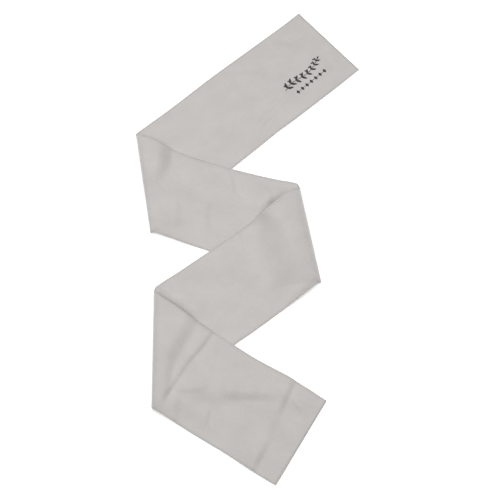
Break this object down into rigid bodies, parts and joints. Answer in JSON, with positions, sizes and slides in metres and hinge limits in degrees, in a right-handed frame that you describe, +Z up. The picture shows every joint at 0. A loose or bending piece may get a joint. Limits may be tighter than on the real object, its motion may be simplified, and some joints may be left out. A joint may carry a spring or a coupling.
{
  "type": "digital piano key cover",
  "caption": "Long soft strip of brushed cloth that covers a digital piano's keys, lying on a surface in a loose zigzag of diagonal folds.",
  "frame": {"origin": "on the surface, under the middle of the folded cloth's bounding box", "axes": "+Z up from the surface; +Y along the zigzag, from the plain end to the printed end; +X to the right"},
  "size_m": [0.3708, 0.7973, 0.0312],
  "materials": {
    "brushed_cloth": "matte, softly brushed, warm light grey, with a narrow overlocked edge in the same grey"
  },
  "bodies": {
    "root": {"key_cover_cloth": "brushed_cloth"}
  },
  "joints": []
}
